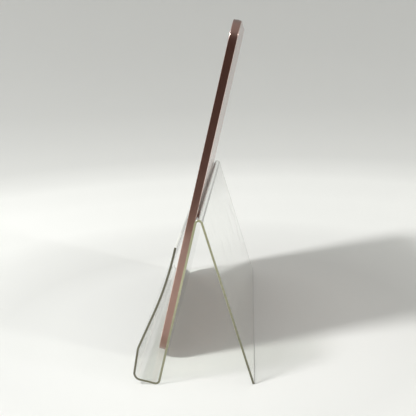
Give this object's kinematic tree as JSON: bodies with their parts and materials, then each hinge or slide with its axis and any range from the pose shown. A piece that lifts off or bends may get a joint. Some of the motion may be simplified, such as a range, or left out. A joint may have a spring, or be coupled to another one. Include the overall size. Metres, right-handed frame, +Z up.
{
  "type": "photo album stand",
  "caption": "Clear stand bent from one thin sheet: a curled front lip, a pocket and a folded rear leg, with a slim metal-cased photo album that lifts out of the pocket.",
  "frame": {"origin": "floor level, in the middle of the stand's footprint", "axes": "+Z up, +Y from the front lip towards the rear leg, X along the bends"},
  "size_m": [0.226, 0.084, 0.244],
  "materials": {
    "clear_sheet": "clear polished acrylic, olive at its cut edges",
    "rose_metal": "fine bead-blasted and anodised, rose",
    "cover_glass": "black-backed polished glass",
    "display": "dark display panel",
    "ribbon": "amber flexible ribbon",
    "cell_wrap": "dark foil pouch",
    "board": "green circuit board",
    "shield_metal": "tinned sheet",
    "screw_metal": "plain steel",
    "speaker_case": "moulded black",
    "socket_metal": "plated steel"
  },
  "bodies": {
    "stand": {"stand_sheet": "clear_sheet"},
    "album": {"album_shell": "rose_metal", "front_glass": "cover_glass", "display_panel": "display", "display_ribbon": "ribbon", "battery_left": "cell_wrap", "battery_right": "cell_wrap", "charge_ribbon": "ribbon", "mainboard": "board", "board_shield": "shield_metal", "board_screw_1": "screw_metal", "board_screw_2": "screw_metal", "board_screw_3": "screw_metal", "board_screw_4": "screw_metal", "speaker_lower_left": "speaker_case", "speaker_lower_right": "speaker_case", "speaker_upper_left": "speaker_case", "speaker_upper_right": "speaker_case", "charge_socket": "socket_metal", "power_switch": "speaker_case", "volume_switch": "speaker_case"},
    "power_key": {"power_button": "rose_metal"},
    "volume_up_key": {"volume_up_button": "rose_metal"},
    "volume_down_key": {"volume_down_button": "rose_metal"}
  },
  "joints": [
    {"name": "album_lift", "type": "slide", "parent": "stand", "child": "album", "axis": [0, 0.2588, 0.9659], "range_m": [0, 0.13]},
    {"name": "power_press", "type": "slide", "parent": "album", "child": "power_key", "axis": [0, -0.2588, -0.9659], "range_m": [0, 0.00035], "stiffness_N_per_m": 1500},
    {"name": "volume_up_press", "type": "slide", "parent": "album", "child": "volume_up_key", "axis": [1, 0, 0], "range_m": [0, 0.00035], "stiffness_N_per_m": 1500},
    {"name": "volume_down_press", "type": "slide", "parent": "album", "child": "volume_down_key", "axis": [1, 0, 0], "range_m": [0, 0.00035], "stiffness_N_per_m": 1500}
  ]
}
